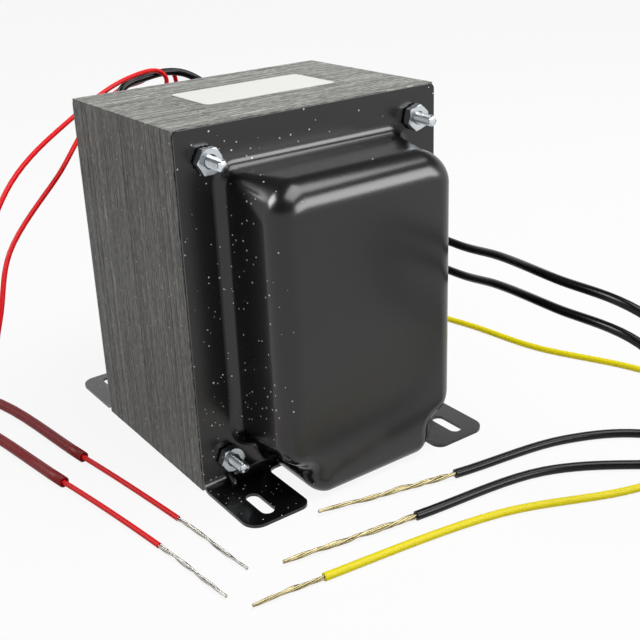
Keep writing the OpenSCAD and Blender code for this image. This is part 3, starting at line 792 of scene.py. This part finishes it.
def press_foot(bm, sheet, side, last):
    """One foot, flat on the chassis, from the end of its bend."""
    reach = settings("bells").depth
    back = sheet + BEND_R
    outline = arc((back + NOTCH_R, FOOT_IN - NOTCH_R), NOTCH_R, 180, 90, ARC_STEPS)[1:]
    outline += arc((reach - FOOT_R[1], FOOT_IN + FOOT_R[1]), FOOT_R[1], 270, 360, ARC_STEPS)
    outline += arc((reach - FOOT_R[0], FOOT_OUT - FOOT_R[0]), FOOT_R[0], 0, 90, FOOT_ARC_STEPS)
    inner = min(last, key=lambda v: abs(v.co.y - side * (FOOT_IN - NOTCH_R)))
    outer = min(last, key=lambda v: abs(v.co.y - side * FOOT_OUT))
    chain = [inner] + [bm.verts.new((x, side * y, sheet)) for x, y in outline] + [outer]
    edges = linked(bm, chain)
    edges.append(bm.edges.get((inner, outer)))
    slot = arc((SLOT_X + SLOT_HALF, BOLT_Y), SLOT_R, -90, 90, SLOT_ARC_STEPS)
    slot += arc((SLOT_X - SLOT_HALF, BOLT_Y), SLOT_R, 90, 270, SLOT_ARC_STEPS)
    edges += loop_of(bm, [(x, side * y, sheet) for x, y in slot])[1]
    bmesh.ops.triangle_fill(bm, edges=edges, use_beauty=True)


def press_dart(bm, sheet, side):
    """The stiffening dart pressed across the bend of a foot, cut off within the sheet."""
    shape = (Matrix.Translation((DART_PLACE, side * BOLT_Y, DART_PLACE))
             @ Matrix.Rotation(math.radians(-45), 4, "Y") @ Matrix.Diagonal((*DART_SIZE, 1)))
    made = bmesh.ops.create_uvsphere(bm, u_segments=24, v_segments=16, radius=1, matrix=shape)["verts"]
    for normal in ((1, 0, 0), (0, 0, 1)):
        made = [v for v in made if v.is_valid]
        edges = {e for v in made for e in v.link_edges}
        faces = {f for v in made for f in v.link_faces}
        cut = bmesh.ops.bisect_plane(bm, geom=[*made, *edges, *faces], plane_co=Vector(normal) * sheet / 2,
                                     plane_no=normal, clear_inner=True)
        bmesh.ops.contextual_create(bm, geom=only(bmesh.types.BMEdge, cut["geom_cut"]))
        made = only(bmesh.types.BMVert, cut["geom"])


class TRANSFORMER_OT_bells(bpy.types.Operator):
    """Press the two end bells, each with its drawn dome, flange and feet."""

    bl_idname = "transformer.bells"
    bl_label = "End bells"

    def execute(self, context):
        bells = settings("bells")
        enamel = stoved_enamel()
        for node, turn, holes in (
                ("front_bell", 0, []),
                ("rear_bell", math.pi, [((y, GROMMET_Z), GROMMET_HOLE_R) for y in (GROMMET_Y, -GROMMET_Y)])):
            bm = bmesh.new()
            draw_dome(bm, bells.thickness, bells.depth, holes)
            press_plate(bm, bells.thickness)
            bmesh.ops.recalc_face_normals(bm, faces=bm.faces)
            self.outwards(bm)
            spot = Matrix.Rotation(turn, 4, "Z") @ Matrix.Translation((CORE_FACE, 0, 0))
            bmesh.ops.transform(bm, matrix=spot, verts=bm.verts)
            piece = keep(bm, node + "_pressing", enamel, "black_paint", [node], smooth=50)
            wall = piece.modifiers.new("sheet", "SOLIDIFY")
            wall.thickness = bells.thickness
            wall.offset = -1
            wall.use_even_offset = True
            ease_edges(piece, bells.edge, 3, 60)
            bm = bmesh.new()
            for side in (-1, 1):
                press_dart(bm, bells.thickness, side)
            bmesh.ops.transform(bm, matrix=spot, verts=bm.verts)
            keep(bm, node + "_darts", enamel, "black_paint")
        return {"FINISHED"}

    def outwards(self, bm):
        """Turns each shell of the open sheet so that its face points out."""
        left = set(bm.faces)
        while left:
            island, front = set(), [left.pop()]
            while front:
                face = front.pop()
                island.add(face)
                for edge in face.edges:
                    for other in edge.link_faces:
                        if other in left:
                            left.discard(other)
                            front.append(other)
            flat = max(island, key=lambda f: f.calc_area())
            # A shell is turned over where its largest face looks back at the core
            if flat.normal.x < -0.5 or sum(f.normal.x * f.calc_area() for f in island) < 0:
                bmesh.ops.reverse_faces(bm, faces=list(island))


# ---------------- fasteners

PITCH = 25.4 / 32 * MM
BOLT_R, ROOT_R = 2.08 * MM, 1.62 * MM
NUT_HALF_AF, NUT_THICK, HEAD_THICK = 4.365 * MM, 3.18 * MM, 2.8 * MM
NUT_CORNER_R = NUT_HALF_AF / math.cos(math.pi / 6)
# A turned-off corner of a nut: across its face, and down its side
CHAMFER_IN, CHAMFER_DOWN = 0.62 * MM, 0.62 * MM * 0.55
COUNTERSINK = 0.5 * MM
WASHER_THICK = 0.7 * MM
NUT_X = CORE_FACE + BELL_SHEET + WASHER_THICK
BOLT_TIP = NUT_X + NUT_THICK + 7.6 * MM
# Where a shank's plain length ends, where its thinner end starts, and where its thread does
PLAIN_END, ROOT_START, THREAD_START = NUT_X - 12 * MM, NUT_X - 11.6 * MM, NUT_X - 11.4 * MM
THREAD_END, TIP_CHAMFER_X, TIP_CHAMFER_R = BOLT_TIP - 0.35 * MM, 0.2 * MM, 0.25 * MM
# Where the crest of the thread starts and ends, as shares of the pitch
CREST = (0.42, 0.56)
THREAD_STEPS, SHANK_STEPS, NUT_STEPS, WASHER_STEPS = 28, 32, 64, 48
# Corners nearer than this are one
WELD, THREAD_WELD = 1e-7, 1e-6
NUT_TURNS = (8, 30, 0, 18)
# The lock washer's ring lies this far within its thickness, and its teeth stand out of the ring
WASHER_INSET, WASHER_BORE_R, WASHER_RING_R = 0.1 * MM, 2.1 * MM, 3.9 * MM
TEETH, TOOTH_R, TOOTH_TWIST = 14, 4.2 * MM, 24
TOOTH_SIZE = (0.4 * MM, 1.15 * MM, 1.15 * MM)
# Painted shade lies in the thread's roots: on what is hardly wider than the root, but not on the tip
ROOT_SHADED_R, CLEAN_TIP, ROOT_SHADE = ROOT_R + 0.05 * MM, 0.3 * MM, 0.12


def spin(bm, geom, steps, climb, weld):
    """Spins a profile about X, climbing along it in each step, and welds what comes to lie together."""
    bmesh.ops.spin(bm, geom=geom, cent=(0, 0, 0), axis=(1, 0, 0), dvec=(climb, 0, 0), angle=2 * math.pi,
                   steps=steps, use_merge=climb == 0)
    bmesh.ops.remove_doubles(bm, verts=bm.verts, dist=weld)
    bmesh.ops.recalc_face_normals(bm, faces=bm.faces)


def spun_solid(bm, profile, steps):
    """A closed turned solid, from its profile of (radius, X) pairs."""
    verts, edges = loop_of(bm, [(x, r, 0) for r, x in profile])
    spin(bm, verts + edges, steps, 0, WELD)


def hexagon(profile):
    """A turned solid with six flats cut on it."""
    bm = bmesh.new()
    spun_solid(bm, profile, NUT_STEPS)
    for k in range(6):
        a = math.radians(60 * k + 30)
        side = (0, math.cos(a), math.sin(a))
        cut = bmesh.ops.bisect_plane(bm, geom=[*bm.verts, *bm.edges, *bm.faces], dist=WELD,
                                     plane_co=Vector(side) * NUT_HALF_AF, plane_no=side, clear_outer=True)
        bmesh.ops.contextual_create(bm, geom=only(bmesh.types.BMEdge, cut["geom_cut"]))
    bmesh.ops.recalc_face_normals(bm, faces=bm.faces)
    return bm


def thread(bm, start, end):
    """A cut thread between two places along X, as one spun zigzag that climbs a pitch in each turn."""
    teeth = int((end - start) / PITCH)
    profile = []
    for k in range(teeth):
        x = start + k * PITCH
        profile += [(ROOT_R, x)] + [(BOLT_R, x + PITCH * share) for share in CREST]
    profile.append((ROOT_R, start + teeth * PITCH))
    verts = [bm.verts.new((x, r, 0)) for r, x in profile]
    spin(bm, verts + linked(bm, verts), THREAD_STEPS, PITCH / THREAD_STEPS, THREAD_WELD)


def on_bolts(build, turns=(0, 0, 0, 0)):
    """One bmesh with a built piece on each bolt axis, turned about it."""
    whole = bmesh.new()
    for (y, z), turn in zip(CORNERS, turns):
        one = build()
        spot = Matrix.Translation((0, y, z)) @ Matrix.Rotation(math.radians(turn), 4, "X")
        bmesh.ops.transform(one, verts=one.verts, matrix=spot)
        copy = mesh_from(one, "passing")
        whole.from_mesh(copy)
        bpy.data.meshes.remove(copy)
    return whole


def shank():
    """A bolt's shank: its plain length and its threaded end, with a chamfered tip."""
    bm = bmesh.new()
    spun_solid(bm, [(0, -NUT_X), (BOLT_R, -NUT_X), (BOLT_R, PLAIN_END), (ROOT_R, ROOT_START),
                    (ROOT_R, BOLT_TIP - TIP_CHAMFER_X), (ROOT_R - TIP_CHAMFER_R, BOLT_TIP),
                    (0, BOLT_TIP)], SHANK_STEPS)
    thread(bm, THREAD_START, THREAD_END)
    return bm


def head():
    """A bolt's hexagon head at the rear, with its outer corners turned off."""
    low, high = -NUT_X - HEAD_THICK, -NUT_X
    return hexagon([(0, high), (0, low), (NUT_CORNER_R - CHAMFER_IN, low),
                    (NUT_CORNER_R, low + CHAMFER_DOWN), (NUT_CORNER_R, high)])


def nut():
    """A hexagon nut, chamfered on both faces and countersunk in front."""
    low, high = NUT_X, NUT_X + NUT_THICK
    return hexagon([(BOLT_R + COUNTERSINK, high), (BOLT_R, high - COUNTERSINK), (BOLT_R, low),
                    (NUT_CORNER_R - CHAMFER_IN, low), (NUT_CORNER_R, low + CHAMFER_DOWN),
                    (NUT_CORNER_R, high - CHAMFER_DOWN), (NUT_CORNER_R - CHAMFER_IN, high)])


def tooth_washer():
    """A lock washer with twisted teeth round its outside."""
    bm = bmesh.new()
    low, high = NUT_X - WASHER_THICK, NUT_X
    back, front = low + WASHER_INSET, high - WASHER_INSET
    spun_solid(bm, [(WASHER_BORE_R, back), (WASHER_RING_R, back), (WASHER_RING_R, front),
                    (WASHER_BORE_R, front)], WASHER_STEPS)
    for k in range(TEETH):
        tooth = (Matrix.Rotation(2 * math.pi * k / TEETH, 4, "X")
                 @ Matrix.Translation(((low + high) / 2, TOOTH_R, 0))
                 @ Matrix.Rotation(math.radians(TOOTH_TWIST), 4, "Y") @ Matrix.Diagonal((*TOOTH_SIZE, 1)))
        bmesh.ops.create_cube(bm, size=1, matrix=tooth)
    return bm


def shade_thread_roots(piece):
    """Paints shade into the roots of the threads, as darkness in the attribute that the material reads."""
    tone = piece.data.color_attributes.new("tone", "FLOAT_COLOR", "POINT")
    for v in piece.data.vertices:
        away = min(math.hypot(v.co.y - y, v.co.z - z) for y, z in CORNERS)
        shade = ROOT_SHADE if away < ROOT_SHADED_R and v.co.x < BOLT_TIP - CLEAN_TIP else 1.0
        tone.data[v.index].color = (shade, shade, shade, 1)


class TRANSFORMER_OT_fasteners(bpy.types.Operator):
    """Turn the clamping bolts, nuts and lock washers."""

    bl_idname = "transformer.fasteners"
    bl_label = "Bolts, nuts and washers"

    def execute(self, context):
        bright = zinc_plate("bright_zinc", "#c9ced2", 0.24)
        dull = zinc_plate("blackened_spring_steel", "#1c1c1d", 0.45)
        # Painted shade: the cut thread's material darkens the roots where the tone marks them
        cut = zinc_plate("cut_thread_zinc", "#d3d8dc", 0.24, True)
        shanks = keep(on_bolts(shank), "bolt_shanks", cut, "zinc_steel", ["clamp_bolts"], 40)
        shade_thread_roots(shanks)
        heads = keep(on_bolts(head, NUT_TURNS), "bolt_heads", bright, "zinc_steel", [], 25)
        nuts = keep(on_bolts(nut, NUT_TURNS), "front_nuts", bright, "zinc_steel", ["hex_nuts"], 25)
        washers = keep(on_bolts(tooth_washer), "toothed_washers", dull, "dark_steel", ["lock_washers"], 30)
        for piece, width, segments, angle in (
                (shanks, 0.05 * MM, 1, 60), (heads, 0.12 * MM, 2, 20), (nuts, 0.12 * MM, 2, 20),
                (washers, 0.08 * MM, 1, 40)):
            ease_edges(piece, width, segments, angle)
        return {"FINISHED"}


# ---------------- finishes of the solids that stay


class TRANSFORMER_OT_finishes(bpy.types.Operator):
    """Give the coil, the insulation, the washers and the label their finishes."""

    bl_idname = "transformer.finishes"
    bl_label = "Coil, washers and label"

    def execute(self, context):
        paper = plain("varnished_paper", "#c7a968", 0.45)
        for material, *nodes in (
                (plain("pressed_board", "#c9b489", 0.7), "coil_former"),
                (enamelled_wire(), "primary_winding", "secondary_winding"),
                (paper, "winding_paper", "coil_wrap", "lead_pad_tape", "bolt_sleeves"),
                (zinc_plate("bright_zinc_washers", "#c2c6c9", 0.3), "plain_washers"),
                (plain("moulded_rubber", "#1d1d1d", 0.6), "lead_grommets"),
                (plain("coated_paper_label", "#d6d6d2", 0.4), "top_label")):
            for node in nodes:
                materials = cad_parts[node].data.materials
                materials.clear()
                materials.append(material)
        return {"FINISHED"}


# ---------------- stage

CAMERA_PLACE = Vector((0.3202, -0.1997, 0.2034))
CAMERA_AHEAD = Vector((-0.7766, 0.5171, -0.3600)).normalized()
CAMERA_ROLL = math.radians(-2.89)
CAMERA_SHIFT = (0.0453, -0.0688)
SENSOR_WIDTH = 36
CLIP_START = 0.01
FLOOR_REACH = 4
# What gloss sees of the room, by height: bright walls to 0.32, dim overhead
ROOM = [(0.0, 1.0), (0.32, 0.9), (0.5, 0.16), (1.0, 0.1)]
# Name, place, aim, width, height, share of the key's power, and whether it lies in the gloss alone
LAMPS = (
    ("overhead", (0.30, 0.25, 0.95), (0, 0, 0.06), 0.75, 0.55, 1, False),
    ("left_high", (-0.25, -0.56, 0.72), (0.08, 0, 0.1), 0.34, 0.42, 0.9, True),
    ("front_right", (0.70, 0.42, 0.42), (0.1, 0, 0.11), 0.55, 0.36, 0.7, True),
    ("back_low", (-0.95, 0.62, 0.52), (0.1, 0, 0.11), 1.1, 0.34, 0.14, True))


def white_when_seen(tree, lit, strength, share):
    """Mixes a plain white glow into a shader where the camera, gloss or glass sees it."""
    path = add(tree, "ShaderNodeLightPath").outputs
    seen = reckon(tree, "MAXIMUM", path["Is Camera Ray"], path["Is Glossy Ray"])
    seen = reckon(tree, "MAXIMUM", seen, path["Is Transmission Ray"])
    glow = add(tree, "ShaderNodeEmission", {"Color": (1, 1, 1, 1), "Strength": strength}).outputs[0]
    return chosen(tree, reckon(tree, "MULTIPLY", seen, share), lit, glow)


def chosen(tree, share, without, with_it):
    """One shader where the share is 0 and another where it is 1."""
    return add(tree, "ShaderNodeMixShader", {0: share, 1: without, 2: with_it}).outputs[0]


def background(tree, colour, strength):
    """A shader of the room."""
    return add(tree, "ShaderNodeBackground", {"Color": colour, "Strength": strength}).outputs[0]


class TRANSFORMER_OT_stage(bpy.types.Operator):
    """Set the floor, the lamps and the camera."""

    bl_idname = "transformer.stage"
    bl_label = "Stage"

    def execute(self, context):
        scene = context.scene
        scene.view_settings.view_transform = "Standard"
        self.camera(scene)
        self.floor()
        self.world(scene)
        for lamp in LAMPS:
            self.lamp(*lamp)
        return {"FINISHED"}

    def camera(self, scene):
        """The camera, from its place, its direction and its slight roll."""
        data = bpy.data.cameras.new("camera")
        data.lens = settings("stage").lens
        data.sensor_width = SENSOR_WIDTH
        data.shift_x, data.shift_y = CAMERA_SHIFT
        data.clip_start = CLIP_START
        camera = bpy.data.objects.new("camera", data)
        right = CAMERA_AHEAD.cross(UP).normalized()
        up = right.cross(CAMERA_AHEAD)
        tilted = math.cos(CAMERA_ROLL) * right + math.sin(CAMERA_ROLL) * up
        upright = math.cos(CAMERA_ROLL) * up - math.sin(CAMERA_ROLL) * right
        axes = Matrix((tilted, upright, -CAMERA_AHEAD)).transposed()
        camera.matrix_world = Matrix.Translation(CAMERA_PLACE) @ axes.to_4x4()
        scene.collection.objects.link(camera)
        scene.camera = camera

    def floor(self):
        """A wide pale floor that keeps the shadows."""
        bm = bmesh.new()
        bmesh.ops.create_grid(bm, x_segments=1, y_segments=1, size=FLOOR_REACH)
        floor = bpy.data.objects.new("floor", mesh_from(bm, "floor"))
        material = bpy.data.materials.new("matt_white_paper")
        tree = empty_tree(material)
        lit = add(tree, "ShaderNodeBsdfDiffuse", {"Color": srgb("#c8c8c8")}).outputs[0]
        add(tree, "ShaderNodeOutputMaterial", {"Surface": white_when_seen(tree, lit, 1.04, 0.86)})
        floor.data.materials.append(material)
        bpy.context.collection.objects.link(floor)

    def world(self, scene):
        """A pale room: white where it is seen, and for gloss bright along its walls and dim overhead."""
        scene.world = bpy.data.worlds.new("studio")
        tree = empty_tree(scene.world)
        way = add(tree, "ShaderNodeTexCoord").outputs["Generated"]
        height = add(tree, "ShaderNodeSeparateXYZ", {"Vector": way}).outputs["Z"]
        path = add(tree, "ShaderNodeLightPath").outputs
        soft = background(tree, srgb("#ffffff"), 0.42)
        glossy = background(tree, ramp(tree, height, ROOM), 1.0)
        seen = background(tree, srgb("#ffffff"), 1.0)
        lit = chosen(tree, path["Is Glossy Ray"], soft, glossy)
        add(tree, "ShaderNodeOutputWorld", {"Surface": chosen(tree, path["Is Camera Ray"], lit, seen)})

    def lamp(self, name, at, towards, width, height, share, card):
        """A soft box, or a card that lies in the gloss alone."""
        data = bpy.data.lights.new(name, "AREA")
        data.shape = "RECTANGLE"
        data.size, data.size_y = width, height
        data.energy = settings("stage").key * share
        lamp = bpy.data.objects.new(name, data)
        lamp.location = at
        lamp.rotation_euler = (Vector(towards) - Vector(at)).to_track_quat("-Z", "Y").to_euler()
        lamp.visible_diffuse = not card
        bpy.context.scene.collection.objects.link(lamp)


# ---------------- panel and run

OPERATORS = (TRANSFORMER_OT_stage, TRANSFORMER_OT_leads, TRANSFORMER_OT_core, TRANSFORMER_OT_bells,
             TRANSFORMER_OT_fasteners, TRANSFORMER_OT_finishes)


class TRANSFORMER_PT_panel(bpy.types.Panel):
    """Lists the pieces of the transformer and their settings."""

    bl_idname = "TRANSFORMER_PT_panel"
    bl_label = "Chassis transformer"
    bl_space_type = "VIEW_3D"
    bl_region_type = "UI"
    bl_category = "Transformer"

    def draw(self, context):
        for group in SETTINGS:
            box = self.layout.box()
            box.label(text=group.capitalize())
            for prop in SETTINGS[group].__annotations__:
                box.prop(settings(group), prop)
        for operator in OPERATORS:
            self.layout.operator(operator.bl_idname)


CLASSES = (*SETTINGS.values(), *OPERATORS, TRANSFORMER_PT_panel)


def register():
    """Registers the classes and hangs the settings on the scene."""
    for cls in CLASSES:
        bpy.utils.register_class(cls)
    for group, cls in SETTINGS.items():
        setattr(bpy.types.Scene, "transformer_" + group, PointerProperty(type=cls))


def unregister():
    """Takes the settings and the classes away."""
    for group in SETTINGS:
        delattr(bpy.types.Scene, "transformer_" + group)
    for cls in reversed(CLASSES):
        bpy.utils.unregister_class(cls)


def main():
    """Makes every piece."""
    register()
    for operator in OPERATORS:
        group, name = operator.bl_idname.split(".")
        getattr(getattr(bpy.ops, group), name)()


if __name__ == "__main__":
    main()
